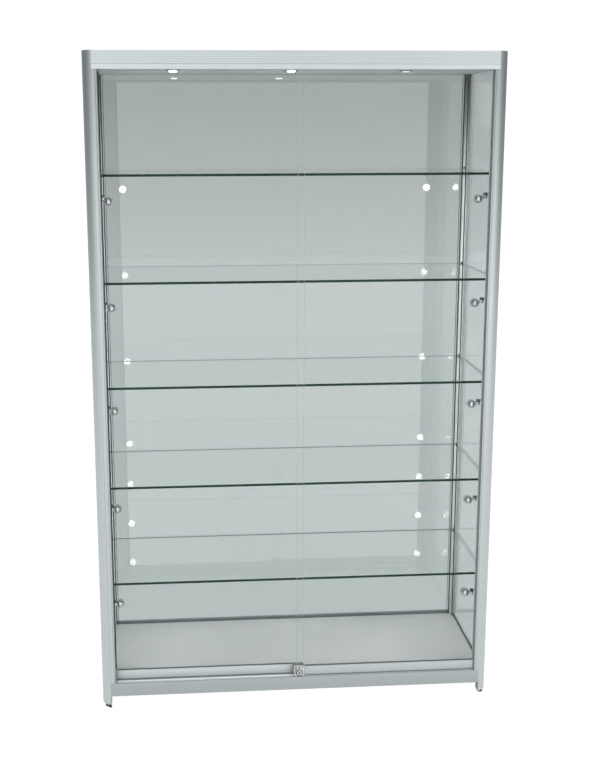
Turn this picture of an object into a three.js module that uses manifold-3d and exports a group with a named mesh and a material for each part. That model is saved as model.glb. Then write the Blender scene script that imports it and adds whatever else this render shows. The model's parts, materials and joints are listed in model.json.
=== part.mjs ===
// A tall glass showcase: an aluminium frame on four levelling feet, glass back and sides,
// two sliding glass doors with a push lock, five glass shelves, ten swivelling spotlights
// and three downlights. Millimetres, +Z up. The origin is the middle of the footprint on
// the ground, the doors face -Y.
import * as THREE from "three";
import { mergeVertices } from "three/addons/utils/BufferGeometryUtils.js";
import Module from "manifold-3d";

const wasm = await Module();
wasm.setup();

// ---------------------------------------------------------------- driving dimensions
const WIDTH = 1200;
const DEPTH = 450;
const HEIGHT = 1960;
const GAP = 0.3; // clearance between pieces that meet

// Heights
const POST_BOTTOM = 8;
const RAIL_BOTTOM = 38; // underside of the base rails
const RAIL_TOP = 80; // top of the base rails
const DECK_TOP = 72;
const DECK_THICKNESS = 16;
const LIP_BOTTOM = 1909; // lower edge of the front header
const CEILING_BOTTOM = 1916;
const CEILING_THICKNESS = 3;
const HEADER_GROOVE = 1923; // shadow line along the front header
const COVER_BOTTOM = 1950;
const COVER_THICKNESS = 7;
const SHELF_HEIGHTS = [1617, 1307, 995, 688, 382]; // middle of each shelf, top one first

// Glass
const PANE = 5;
const SHELF_THICKNESS = 6;
const SHELF_HALF_WIDTH = 588;
const SHELF_FRONT = 50; // distance behind the front face
const SHELF_BACK = 430;
const BACK_PANE_FRONT = 434;
const SIDE_PANE_INSET = 3; // outer face of a side pane, in from the side of the case

// Front posts: a quarter-round tube with a leg that holds the side pane
const POST_WIDTH = 28;
const POST_RADIUS = 38;
const POST_LEG = 46;
const LEG_THICKNESS = 11;
const POST_BORE = 17.5; // centre of the screw chamber, in from both outer faces
const JAMB_EDGE = 43; // inner edge of the door jamb, in from the side of the case
const JAMB_DEPTH = 18;

// Back posts: slimmer, square outside
const BACK_POST_WIDTH = 18;
const BACK_POST_DEPTH = 19;
const BACK_POST_LEG = 35;
const BACK_BORE = [7.5, 9];

// Door tracks, measured back from the front face
const FRONT_DOOR = 5.9; // front face of the front door's bottom rail
const REAR_DOOR = 21.6;
const DOOR_RAIL_WIDTH = 12;
const DOOR_RAIL_BOTTOM = 82;
const DOOR_RAIL_TOP = 112;
const DOOR_RAIL_WALL = 2.4;
const DOOR_WEB = [96.3, 99];
const DOOR_EDGE = 555; // outer end of each closed door
const DOOR_OVERLAP = 22; // how far the left door reaches past the middle
const DOOR_GLASS_TOP = 1925;
const ROLLER_RADIUS = 6; // to the floor of the groove that runs on the rib
const ROLLER_FLANGE = 6.5;
const RIB_TOP = 83;

// Lock, on the meeting end of the right door
const LOCK_X = 9;
const LOCK_Z = 93;
const LOCK_LEFT = -11;
const LOCK_RIGHT = 23.7;
const BOLT_RADIUS = 5;
const BOLT_LENGTH = 18.5; // from the front face to the tip that enters the left door's rail
const BARREL_RADIUS = 8.5;
const PLUG_RADIUS = 3.5;

// Spotlights: a knuckle on the light rail, and a head that turns about its upright pin
const KNUCKLE_INSET = 44; // pin, in from the side of the case
const KNUCKLE_DEPTH = 56; // pin, back from the front face
const KNUCKLE_DROP = 62; // parting plane of the knuckle, below the middle of the shelf
const KNUCKLE_RADIUS = 6.5;
const HEAD_RADIUS = 12.5;
const HEAD_OFFSET = [13, 22, -10]; // inward, back and up from the pin to the head
const HEAD_AIM = [0.3, 0.95, -0.08]; // inward, back and up

// Downlights
const DOWNLIGHT_X = [-350, 0, 345];
const DOWNLIGHT_DEPTH = 215;

// ---------------------------------------------------------------- finishes
const finish = (color, roughness, metalness) => ({ color, roughness, metalness });
const ALUMINIUM = finish(0xb4bbbb, 0.42, 0.9);
const CHROME = finish(0xdfe3e4, 0.12, 1);
const CLEAR_GLASS = finish(0xbfd2cd, 0.05, 0);
const BACK_GLASS = finish(0xb0bab8, 0.08, 0);
const PALE_BOARD = finish(0xc3cccb, 0.5, 0);
const WHITE_PLASTIC = finish(0xe8e8e4, 0.5, 0);
const BLACK_PLASTIC = finish(0x1c1d1e, 0.6, 0);

// ---------------------------------------------------------------- helpers
const showcase = new THREE.Group();

function addMesh(name, geometry, look, parent = showcase) {
  const mesh = new THREE.Mesh(geometry, new THREE.MeshStandardMaterial(look));
  mesh.name = name;
  parent.add(mesh);
  return mesh;
}

const sideName = (side) => (side < 0 ? "left" : "right");
const fromSide = (side, inset) => side * (WIDTH / 2 - inset);
const fromFront = (distance) => -DEPTH / 2 + distance;
const fromBack = (distance) => DEPTH / 2 - distance;

function extrude(points, length, holes = []) {
  const shape = new THREE.Shape(points.map(([a, b]) => new THREE.Vector2(a, b)));
  for (const { x, y, radius, segments } of holes) {
    const ring = Array.from({ length: segments }, (_, i) => {
      const angle = (i / segments) * 2 * Math.PI;
      return new THREE.Vector2(x + radius * Math.cos(angle), y + radius * Math.sin(angle));
    });
    shape.holes.push(new THREE.Path(ring));
  }
  return new THREE.ExtrudeGeometry(shape, { depth: length, bevelEnabled: false, steps: 1 });
}

// Sections in the [x, y] plane run up, in [y, z] they run along X, in [x, z] along Y.
const alongZ = (points, z0, z1, holes) => extrude(points, z1 - z0, holes).translate(0, 0, z0);

function alongX(points, x0, x1) {
  const turn = new THREE.Matrix4().makeBasis(
    new THREE.Vector3(0, 1, 0),
    new THREE.Vector3(0, 0, 1),
    new THREE.Vector3(1, 0, 0),
  );
  return extrude(points, x1 - x0).applyMatrix4(turn).translate(x0, 0, 0);
}

function alongY(points, y0, y1) {
  return extrude(points, y1 - y0).rotateX(Math.PI / 2).translate(0, y1, 0);
}

const rectangle = (a0, a1, b0, b1) => [
  [a0, b0],
  [a1, b0],
  [a1, b1],
  [a0, b1],
];

function box(x0, x1, y0, y1, z0, z1) {
  const size = [x1 - x0, y1 - y0, z1 - z0];
  return new THREE.BoxGeometry(...size).translate((x0 + x1) / 2, (y0 + y1) / 2, (z0 + z1) / 2);
}

// Solid of revolution about +Z from [radius, height] points.
function revolve(profile, segments) {
  const points = profile.map(([radius, height]) => new THREE.Vector2(radius, height));
  return new THREE.LatheGeometry(points, segments).rotateX(Math.PI / 2);
}

const cylinder = (radius, z0, z1, segments) =>
  revolve([[0, z0], [radius, z0], [radius, z1], [0, z1]], segments);

// Turns a shape that stands on +Z to stand along a direction, with its foot at a point.
function aimed(geometry, direction, foot) {
  const turn = new THREE.Quaternion().setFromUnitVectors(
    new THREE.Vector3(0, 0, 1),
    direction.clone().normalize(),
  );
  return geometry.applyQuaternion(turn).translate(foot.x, foot.y, foot.z);
}

function rod(from, to, radius, segments) {
  const direction = to.clone().sub(from);
  return aimed(cylinder(radius, 0, direction.length(), segments), direction, from);
}

function toSolid(geometry) {
  const bare = geometry.clone();
  bare.deleteAttribute("normal");
  bare.deleteAttribute("uv");
  const merged = mergeVertices(bare, 1e-4);
  return new wasm.Manifold(
    new wasm.Mesh({
      numProp: 3,
      vertProperties: merged.attributes.position.array,
      triVerts: new Uint32Array(merged.index.array),
    }),
  );
}

function toGeometry(solid) {
  const mesh = solid.getMesh();
  return new THREE.BufferGeometry()
    .setAttribute("position", new THREE.BufferAttribute(mesh.vertProperties, 3))
    .setIndex(new THREE.BufferAttribute(mesh.triVerts, 1));
}

const join = (first, ...others) =>
  toGeometry(others.reduce((solid, next) => solid.add(toSolid(next)), toSolid(first)));

const cut = (body, ...tools) =>
  toGeometry(tools.reduce((solid, tool) => solid.subtract(toSolid(tool)), toSolid(body)));

// ---------------------------------------------------------------- posts and feet
function frontPostSection() {
  const arcSteps = 9;
  const firstAngle = Math.asin((POST_RADIUS - POST_WIDTH) / POST_RADIUS);
  const arc = Array.from({ length: arcSteps + 1 }, (_, i) => {
    const angle = firstAngle + (i / arcSteps) * (Math.PI / 2 - firstAngle);
    return [POST_RADIUS * (1 - Math.sin(angle)), POST_RADIUS * (1 - Math.cos(angle))];
  });
  return [
    ...arc,
    [0, POST_LEG],
    ...paneSlot(POST_LEG),
    [LEG_THICKNESS, POST_LEG],
    [LEG_THICKNESS, POST_WIDTH],
    [POST_WIDTH, POST_WIDTH],
  ];
}

// The slot that takes the edge of a side pane, in the end of a post's leg.
function paneSlot(legEnd) {
  const slotDepth = 8;
  const outer = SIDE_PANE_INSET - 0.4;
  const inner = SIDE_PANE_INSET + PANE + 0.4;
  return [
    [outer, legEnd],
    [outer, legEnd - slotDepth],
    [inner, legEnd - slotDepth],
    [inner, legEnd],
  ];
}

function backPostSection() {
  const slotFront = DEPTH - BACK_PANE_FRONT + 0.5;
  const slotBack = DEPTH - BACK_PANE_FRONT - PANE - 0.5;
  const slotFloor = 13;
  const corner = 3;
  return [
    [0, corner],
    [0, BACK_POST_LEG],
    ...paneSlot(BACK_POST_LEG),
    [LEG_THICKNESS, BACK_POST_LEG],
    [LEG_THICKNESS, BACK_POST_DEPTH],
    [BACK_POST_WIDTH, BACK_POST_DEPTH],
    [BACK_POST_WIDTH, slotFront],
    [slotFloor, slotFront],
    [slotFloor, slotBack],
    [BACK_POST_WIDTH, slotBack],
    [BACK_POST_WIDTH, 0],
    [corner, 0],
  ];
}

function foot(padRadius) {
  const studRadius = 3;
  const padTop = 5;
  const studTop = 45;
  return revolve(
    [
      [0, 0],
      [padRadius - 1, 0],
      [padRadius, 1],
      [padRadius, padTop],
      [studRadius, POST_BOTTOM - 1],
      [studRadius, studTop],
      [0, studTop],
    ],
    16,
  );
}

for (const side of [-1, 1]) {
  const postTop = HEIGHT;
  const front = frontPostSection().map(([u, v]) => [fromSide(side, u), fromFront(v)]);
  const frontBore = {
    x: fromSide(side, POST_BORE),
    y: fromFront(POST_BORE),
    radius: 6,
    segments: 12,
  };
  addMesh(
    `post_front_${sideName(side)}`,
    alongZ(front, POST_BOTTOM, postTop, [frontBore]),
    ALUMINIUM,
  );
  const back = backPostSection().map(([u, w]) => [fromSide(side, u), fromBack(w)]);
  const backBore = {
    x: fromSide(side, BACK_BORE[0]),
    y: fromBack(BACK_BORE[1]),
    radius: 4.2,
    segments: 12,
  };
  addMesh(
    `post_back_${sideName(side)}`,
    alongZ(back, POST_BOTTOM, postTop, [backBore]),
    ALUMINIUM,
  );
  addMesh(
    `foot_front_${sideName(side)}`,
    foot(9).translate(frontBore.x, frontBore.y, 0),
    BLACK_PLASTIC,
  );
  addMesh(
    `foot_back_${sideName(side)}`,
    foot(7.5).translate(backBore.x, backBore.y, 0),
    BLACK_PLASTIC,
  );
}

// ---------------------------------------------------------------- base and header rails
const FRONT_RAIL_HALF = WIDTH / 2 - POST_WIDTH - GAP;
const BACK_RAIL_HALF = WIDTH / 2 - BACK_POST_WIDTH - GAP;
const SIDE_RAIL_FRONT = POST_LEG + GAP;
const SIDE_RAIL_BACK = DEPTH - BACK_POST_LEG - GAP;
const RAIL_DEPTH = 28; // how far side and back rails reach into the case
const SILL = DECK_TOP - DECK_THICKNESS - 0.5; // ledge that carries the deck and the panes
const LINTEL = CEILING_BOTTOM + CEILING_THICKNESS + 0.8; // ledge above the ceiling
const HEADER_END = CEILING_BOTTOM - 0.2; // lower edge of the side and back headers

// An L section: a wall of the given thickness at the outside and a ledge behind it.
const ledgeSection = (wall, wallEnd, ledge, far) => [
  [0, far],
  [0, wallEnd],
  [wall, wallEnd],
  [wall, ledge],
  [RAIL_DEPTH, ledge],
  [RAIL_DEPTH, far],
];

const SIDE_WALL = 2.6;
const BACK_WALL = DEPTH - BACK_PANE_FRONT - PANE - 0.6;

for (const side of [-1, 1]) {
  const inward = ([u, z]) => [fromSide(side, u), z];
  const span = [fromFront(SIDE_RAIL_FRONT), fromFront(SIDE_RAIL_BACK)];
  const base = ledgeSection(SIDE_WALL, RAIL_TOP, SILL, RAIL_BOTTOM).map(inward);
  const header = ledgeSection(SIDE_WALL, HEADER_END, LINTEL, HEIGHT).map(inward);
  addMesh(`base_rail_${sideName(side)}`, alongY(base, ...span), ALUMINIUM);
  addMesh(`header_${sideName(side)}`, alongY(header, ...span), ALUMINIUM);
}

const forward = ([w, z]) => [fromBack(w), z];
addMesh(
  "base_rail_back",
  alongX(
    ledgeSection(BACK_WALL, RAIL_TOP, SILL, RAIL_BOTTOM).map(forward),
    -BACK_RAIL_HALF,
    BACK_RAIL_HALF,
  ),
  ALUMINIUM,
);
addMesh(
  "header_back",
  alongX(
    ledgeSection(BACK_WALL, HEADER_END, LINTEL, HEIGHT).map(forward),
    -BACK_RAIL_HALF,
    BACK_RAIL_HALF,
  ),
  ALUMINIUM,
);

// The front base rail is a box tube, open at both ends.
const BASE_RAIL_DEPTH = 36;
const TUBE_WALL = 2.5;
const baseTube = cut(
  box(
    -FRONT_RAIL_HALF,
    FRONT_RAIL_HALF,
    fromFront(0),
    fromFront(BASE_RAIL_DEPTH),
    RAIL_BOTTOM,
    RAIL_TOP,
  ),
  box(
    -WIDTH / 2,
    WIDTH / 2,
    fromFront(TUBE_WALL),
    fromFront(BASE_RAIL_DEPTH - TUBE_WALL),
    RAIL_BOTTOM + TUBE_WALL,
    RAIL_TOP - TUBE_WALL,
  ),
);
addMesh("base_rail_front", baseTube, ALUMINIUM);

// The front header is a channel, open below, that hides the door guide.
const HEADER_DEPTH = 40;
const HEADER_WALL = 3;
const HEADER_BACK_WALL = 2.6;
const grooveHalf = 0.6;
const headerSection = [
  [0, LIP_BOTTOM],
  [HEADER_WALL, LIP_BOTTOM],
  [HEADER_WALL, HEIGHT - HEADER_WALL],
  [HEADER_DEPTH - HEADER_BACK_WALL, HEIGHT - HEADER_WALL],
  [HEADER_DEPTH - HEADER_BACK_WALL, HEADER_END],
  [HEADER_DEPTH, HEADER_END],
  [HEADER_DEPTH, HEIGHT],
  [0, HEIGHT],
  [0, HEADER_GROOVE + grooveHalf],
  [1, HEADER_GROOVE + grooveHalf / 2],
  [1, HEADER_GROOVE - grooveHalf / 2],
  [0, HEADER_GROOVE - grooveHalf],
].map(([v, z]) => [fromFront(v), z]);
addMesh("header_front", alongX(headerSection, -FRONT_RAIL_HALF, FRONT_RAIL_HALF), ALUMINIUM);

for (const side of [-1, 1]) {
  const section = rectangle(POST_WIDTH + GAP, JAMB_EDGE, 0, JAMB_DEPTH);
  addMesh(
    `door_jamb_${sideName(side)}`,
    alongZ(
      section.map(([u, v]) => [fromSide(side, u), fromFront(v)]),
      RAIL_TOP + GAP,
      LIP_BOTTOM - GAP,
    ),
    ALUMINIUM,
  );
}

// ---------------------------------------------------------------- deck, ceiling, top cover
// Outline that fills the case and steps round the legs of the posts.
function panelOutline(frontEdge) {
  const half = WIDTH / 2 - SIDE_PANE_INSET - PANE - 0.5;
  const legHalf = WIDTH / 2 - LEG_THICKNESS - GAP;
  const postHalf = WIDTH / 2 - BACK_POST_WIDTH - 2 * GAP;
  const rightHalf = [
    [legHalf, frontEdge],
    [legHalf, POST_LEG + GAP],
    [half, POST_LEG + GAP],
    [half, DEPTH - BACK_POST_LEG - GAP],
    [legHalf, DEPTH - BACK_POST_LEG - GAP],
    [legHalf, DEPTH - BACK_POST_DEPTH - GAP],
    [postHalf, DEPTH - BACK_POST_DEPTH - GAP],
    [postHalf, BACK_PANE_FRONT - 0.5],
  ];
  const leftHalf = rightHalf.map(([x, v]) => [-x, v]).reverse();
  return [...rightHalf, ...leftHalf].map(([x, v]) => [x, fromFront(v)]);
}

addMesh(
  "floor_deck",
  alongZ(panelOutline(BASE_RAIL_DEPTH + 0.5), DECK_TOP - DECK_THICKNESS, DECK_TOP),
  PALE_BOARD,
);

const downlightHoles = DOWNLIGHT_X.map((x) => ({
  x,
  y: fromFront(DOWNLIGHT_DEPTH),
  radius: 18.5,
  segments: 20,
}));
addMesh(
  "ceiling_panel",
  alongZ(
    panelOutline(HEADER_DEPTH + GAP),
    CEILING_BOTTOM,
    CEILING_BOTTOM + CEILING_THICKNESS,
    downlightHoles,
  ),
  PALE_BOARD,
);

const GLAND_X = 430;
const GLAND_DEPTH = 385;
const coverOutline = rectangle(
  -FRONT_RAIL_HALF,
  FRONT_RAIL_HALF,
  fromFront(HEADER_DEPTH + GAP),
  fromFront(DEPTH - RAIL_DEPTH - GAP),
);
const glandHole = { x: GLAND_X, y: fromFront(GLAND_DEPTH), radius: 6.3, segments: 16 };
addMesh(
  "top_cover",
  alongZ(coverOutline, COVER_BOTTOM, COVER_BOTTOM + COVER_THICKNESS, [glandHole]),
  PALE_BOARD,
);

// ---------------------------------------------------------------- fixed glass and shelves
const PANE_BOTTOM = SILL + 0.4;
const PANE_TOP = LINTEL - 0.4;
for (const side of [-1, 1]) {
  const xs = [fromSide(side, SIDE_PANE_INSET), fromSide(side, SIDE_PANE_INSET + PANE)];
  const ends = [POST_LEG - 8 + GAP, DEPTH - BACK_POST_LEG + 8 - GAP].map(fromFront);
  addMesh(
    `side_glass_${sideName(side)}`,
    box(Math.min(...xs), Math.max(...xs), ...ends, PANE_BOTTOM, PANE_TOP),
    CLEAR_GLASS,
  );
}

const backPaneHalf = WIDTH / 2 - 13.6;
addMesh(
  "back_glass",
  box(
    -backPaneHalf,
    backPaneHalf,
    fromFront(BACK_PANE_FRONT),
    fromFront(BACK_PANE_FRONT + PANE),
    PANE_BOTTOM,
    PANE_TOP,
  ),
  BACK_GLASS,
);

SHELF_HEIGHTS.forEach((z, i) => {
  addMesh(
    `shelf_${i + 1}`,
    box(
      -SHELF_HALF_WIDTH,
      SHELF_HALF_WIDTH,
      fromFront(SHELF_FRONT),
      fromFront(SHELF_BACK),
      z - SHELF_THICKNESS / 2,
      z + SHELF_THICKNESS / 2,
    ),
    CLEAR_GLASS,
  );
});

// ---------------------------------------------------------------- door tracks
const DOORS = [
  { name: "left", railFront: REAR_DOOR, x0: -DOOR_EDGE, x1: DOOR_OVERLAP, glass0: -DOOR_EDGE },
  { name: "right", railFront: FRONT_DOOR, x0: LOCK_RIGHT + GAP, x1: DOOR_EDGE, glass0: 0 },
];
const TRACK_HALF = WIDTH / 2 - JAMB_EDGE - GAP;

// Bottom track: a plate with one rib under the middle of each door.
function trackSection() {
  const plateTop = 81.3;
  const ribHalf = 1;
  const ribs = [FRONT_DOOR, REAR_DOOR].flatMap((front) => {
    const middle = front + DOOR_RAIL_WIDTH / 2;
    return [
      [middle - ribHalf, plateTop],
      [middle - ribHalf, RIB_TOP],
      [middle + ribHalf, RIB_TOP],
      [middle + ribHalf, plateTop],
    ];
  });
  return [[3, RAIL_TOP + GAP], [3, plateTop], ...ribs, [35.5, plateTop], [35.5, RAIL_TOP + GAP]];
}
addMesh(
  "bottom_track",
  alongX(trackSection().map(([v, z]) => [fromFront(v), z]), -TRACK_HALF, TRACK_HALF),
  ALUMINIUM,
);

// Top guide: two channels, open below, that hold the top edges of the doors.
function guideSection() {
  const finBottom = 1910;
  const webBottom = 1929;
  const webTop = 1931.4;
  const fin = 1.6;
  const first = HEADER_WALL + GAP;
  const last = HEADER_DEPTH - HEADER_BACK_WALL - GAP;
  const middle = (first + last - fin) / 2 - 0.8;
  return [
    [first, finBottom],
    [first + fin, finBottom],
    [first + fin, webBottom],
    [middle, webBottom],
    [middle, finBottom],
    [middle + fin, finBottom],
    [middle + fin, webBottom],
    [last - fin, webBottom],
    [last - fin, finBottom],
    [last, finBottom],
    [last, webTop],
    [first, webTop],
  ];
}
addMesh(
  "top_guide",
  alongX(
    guideSection().map(([v, z]) => [fromFront(v), z]),
    -FRONT_RAIL_HALF + GAP,
    FRONT_RAIL_HALF - GAP,
  ),
  ALUMINIUM,
);

// ---------------------------------------------------------------- doors
// H section: the glass stands in the upper channel, the rollers run in the lower one.
function doorRailSection(front) {
  const inner = DOOR_RAIL_WALL;
  const outer = DOOR_RAIL_WIDTH - DOOR_RAIL_WALL;
  return [
    [0, DOOR_RAIL_BOTTOM],
    [inner, DOOR_RAIL_BOTTOM],
    [inner, DOOR_WEB[0]],
    [outer, DOOR_WEB[0]],
    [outer, DOOR_RAIL_BOTTOM],
    [DOOR_RAIL_WIDTH, DOOR_RAIL_BOTTOM],
    [DOOR_RAIL_WIDTH, DOOR_RAIL_TOP],
    [outer, DOOR_RAIL_TOP],
    [outer, DOOR_WEB[1]],
    [inner, DOOR_WEB[1]],
    [inner, DOOR_RAIL_TOP],
    [0, DOOR_RAIL_TOP],
  ].map(([v, z]) => [fromFront(front + v), z]);
}

// A grooved wheel on a short axle, about its own Y axis.
function roller() {
  const flangeHalf = 2.5;
  const grooveHalfWidth = 1.3;
  const axleHalf = 3.3;
  const axleRadius = 2;
  const profile = [
    [0, -axleHalf],
    [axleRadius, -axleHalf],
    [axleRadius, -flangeHalf],
    [ROLLER_FLANGE, -flangeHalf],
    [ROLLER_FLANGE, -grooveHalfWidth - 0.3],
    [ROLLER_RADIUS, -grooveHalfWidth],
    [ROLLER_RADIUS, grooveHalfWidth],
    [ROLLER_FLANGE, grooveHalfWidth + 0.3],
    [ROLLER_FLANGE, flangeHalf],
    [axleRadius, flangeHalf],
    [axleRadius, axleHalf],
    [0, axleHalf],
  ];
  return revolve(profile, 14).rotateX(Math.PI / 2);
}

const lockAxis = (v, radius, length, segments = 24) =>
  aimed(
    cylinder(radius, 0, length, segments),
    new THREE.Vector3(0, 1, 0),
    new THREE.Vector3(LOCK_X, fromFront(v), LOCK_Z),
  );

for (const door of DOORS) {
  const glassFront = door.railFront + (DOOR_RAIL_WIDTH - PANE) / 2;
  addMesh(
    `door_glass_${door.name}`,
    box(
      door.glass0,
      door.x1,
      fromFront(glassFront),
      fromFront(glassFront + PANE),
      DOOR_WEB[1] + GAP,
      DOOR_GLASS_TOP,
    ),
    CLEAR_GLASS,
  );
  const rail = alongX(doorRailSection(door.railFront), door.x0, door.x1);
  const isLeft = door.name === "left";
  const strikeHole = lockAxis(REAR_DOOR - 1, BOLT_RADIUS + 0.5, 6.5);
  addMesh(`door_rail_${door.name}`, isLeft ? cut(rail, strikeHole) : rail, ALUMINIUM);
  const rollerInset = 60;
  const railMiddle = fromFront(door.railFront + DOOR_RAIL_WIDTH / 2);
  [door.x0 + rollerInset, door.x1 - rollerInset].forEach((x, i) => {
    const wheel = addMesh(`roller_${door.name}_${i + 1}`, roller(), WHITE_PLASTIC);
    wheel.position.set(x, railMiddle, RIB_TOP + GAP + ROLLER_RADIUS);
  });
}

// ---------------------------------------------------------------- push lock
const LOCK_BOTTOM = 83.4;
const LOCK_TOP = 117;
const LOCK_FRONT = 0.6;
const FLANGE_ROOM = 9.3; // depth to which the barrel's flange can be pushed in
const paneBehindLock = FRONT_DOOR + (DOOR_RAIL_WIDTH - PANE) / 2;
const lockBody = cut(
  box(
    LOCK_LEFT,
    LOCK_RIGHT,
    fromFront(LOCK_FRONT),
    fromFront(FRONT_DOOR + DOOR_RAIL_WIDTH),
    LOCK_BOTTOM,
    LOCK_TOP,
  ),
  box(
    -GAP,
    LOCK_RIGHT + 1,
    fromFront(paneBehindLock - GAP),
    fromFront(paneBehindLock + PANE + GAP),
    DOOR_WEB[1],
    LOCK_TOP + 1,
  ),
  lockAxis(-1, BARREL_RADIUS + GAP, FLANGE_ROOM + 1),
  lockAxis(0, BOLT_RADIUS + GAP, FRONT_DOOR + DOOR_RAIL_WIDTH + 1),
);
addMesh("lock_body", lockBody, CHROME);

const lockCentre = new THREE.Vector3(LOCK_X, fromFront(0), LOCK_Z);
const plugDepth = 9;
const barrel = revolve(
  [
    [0, plugDepth + GAP],
    [PLUG_RADIUS + GAP, plugDepth + GAP],
    [PLUG_RADIUS + GAP, 0],
    [BARREL_RADIUS - 0.6, 0],
    [BARREL_RADIUS, 0.6],
    [BARREL_RADIUS, 2.4],
    [BOLT_RADIUS, 2.4],
    [BOLT_RADIUS, BOLT_LENGTH],
    [0, BOLT_LENGTH],
  ],
  24,
);
addMesh("lock_barrel", aimed(barrel, new THREE.Vector3(0, 1, 0), lockCentre), CHROME);

const keyPlug = cut(
  lockAxis(0, PLUG_RADIUS, plugDepth, 20),
  box(
    LOCK_X - 0.6,
    LOCK_X + 0.6,
    fromFront(-1),
    fromFront(4),
    LOCK_Z - 2.4,
    LOCK_Z + 2.4,
  ),
);
addMesh("key_plug", keyPlug, CHROME);

// ---------------------------------------------------------------- spotlights
const RAIL_U = [LEG_THICKNESS + 0.4, LEG_THICKNESS + 12.4];
const RAIL_V = [POST_WIDTH + 0.4, POST_WIDTH + 16];
const KNUCKLE_HEIGHT = 7;
const PIN_RADIUS = 2.5;
const EYE_RADIUS = 6;
const EYE_HEIGHT = 7.4;

function knucklePoint(side, shelfZ) {
  return new THREE.Vector3(
    fromSide(side, KNUCKLE_INSET),
    fromFront(KNUCKLE_DEPTH),
    shelfZ - KNUCKLE_DROP,
  );
}

// One bracket: an arm from the rail, a round knuckle and the pin that carries the head.
function bracket(side, shelfZ) {
  const pin = knucklePoint(side, shelfZ);
  const armHeight = pin.z + KNUCKLE_HEIGHT / 2;
  const root = new THREE.Vector3(fromSide(side, RAIL_U[1] - 2), fromFront(RAIL_V[1] - 4), armHeight);
  const clamp = box(
    Math.min(fromSide(side, RAIL_U[1] - 1), fromSide(side, RAIL_U[1] + 5)),
    Math.max(fromSide(side, RAIL_U[1] - 1), fromSide(side, RAIL_U[1] + 5)),
    fromFront(RAIL_V[1] - 11),
    fromFront(RAIL_V[1] + 1),
    armHeight - 7,
    armHeight + 7,
  );
  const place = (geometry) => geometry.translate(pin.x, pin.y, pin.z);
  return [
    clamp,
    rod(root, new THREE.Vector3(pin.x, pin.y, armHeight), 2.8, 8),
    place(cylinder(KNUCKLE_RADIUS, 0, KNUCKLE_HEIGHT, 12)),
    place(cylinder(PIN_RADIUS, -EYE_HEIGHT - 1, 1, 10)),
    place(cylinder(PIN_RADIUS + 1.5, -EYE_HEIGHT - 2.2, -EYE_HEIGHT - 0.6, 10)),
  ];
}

function spotHead(side) {
  const offset = new THREE.Vector3(-side * HEAD_OFFSET[0], HEAD_OFFSET[1], HEAD_OFFSET[2]);
  const aim = new THREE.Vector3(-side * HEAD_AIM[0], HEAD_AIM[1], HEAD_AIM[2]);
  const shell = revolve(
    [
      [0, -12],
      [5, -11.2],
      [9.5, -8],
      [12, -3],
      [HEAD_RADIUS, 2],
      [HEAD_RADIUS, 13],
      [11, 14],
      [10, 11.5],
      [0, 11.5],
    ],
    14,
  );
  const eyeMiddle = new THREE.Vector3(0, 0, -EYE_HEIGHT / 2 - GAP);
  const solid = join(
    aimed(shell, aim, offset),
    rod(eyeMiddle, offset, 2.6, 8),
    cylinder(EYE_RADIUS, -EYE_HEIGHT, -GAP, 12),
  );
  return cut(solid, cylinder(PIN_RADIUS + GAP, -EYE_HEIGHT - 1, 1, 10));
}

for (const side of [-1, 1]) {
  const strip = alongZ(
    rectangle(...RAIL_U, ...RAIL_V).map(([u, v]) => [fromSide(side, u), fromFront(v)]),
    DECK_TOP + 0.4,
    CEILING_BOTTOM - 0.4,
  );
  const brackets = SHELF_HEIGHTS.flatMap((z) => bracket(side, z));
  addMesh(`light_rail_${sideName(side)}`, join(strip, ...brackets), CHROME);
  SHELF_HEIGHTS.forEach((z, i) => {
    const head = addMesh(`spot_head_${sideName(side)}_${i + 1}`, spotHead(side), CHROME);
    head.position.copy(knucklePoint(side, z));
  });
}

// ---------------------------------------------------------------- downlights and wiring
const downlight = revolve(
  [
    [0, 1.5],
    [14, 1.5],
    [16, -2],
    [21, -2],
    [22, -1.2],
    [22, -GAP],
    [18, -GAP],
    [18, 16],
    [0, 16],
  ],
  24,
);
DOWNLIGHT_X.forEach((x, i) => {
  const lamp = addMesh(`downlight_${i + 1}`, downlight.clone(), CHROME);
  lamp.position.set(x, fromFront(DOWNLIGHT_DEPTH), CEILING_BOTTOM);
});

const driverBottom = CEILING_BOTTOM + CEILING_THICKNESS + 0.4;
const driverOutline = [
  [220, 352],
  [380, 352],
  [384, 356],
  [384, 396],
  [380, 400],
  [220, 400],
  [216, 396],
  [216, 356],
];
addMesh(
  "led_driver",
  alongZ(driverOutline.map(([x, v]) => [x, fromFront(v)]), driverBottom, driverBottom + 24),
  WHITE_PLASTIC,
);

const coverTop = COVER_BOTTOM + COVER_THICKNESS;
const gland = revolve(
  [
    [3.2, COVER_BOTTOM - 6],
    [6, COVER_BOTTOM - 6],
    [6, coverTop + GAP],
    [10, coverTop + GAP],
    [10, coverTop + 1.8],
    [8, coverTop + 2.8],
    [3.2, coverTop + 2.8],
    [3.2, COVER_BOTTOM - 6],
  ],
  16,
);
addMesh("cable_gland", gland.translate(GLAND_X, fromFront(GLAND_DEPTH), 0), BLACK_PLASTIC);

export default showcase;
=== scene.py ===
import json
import math

import bpy
from mathutils import Matrix, Vector

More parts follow.
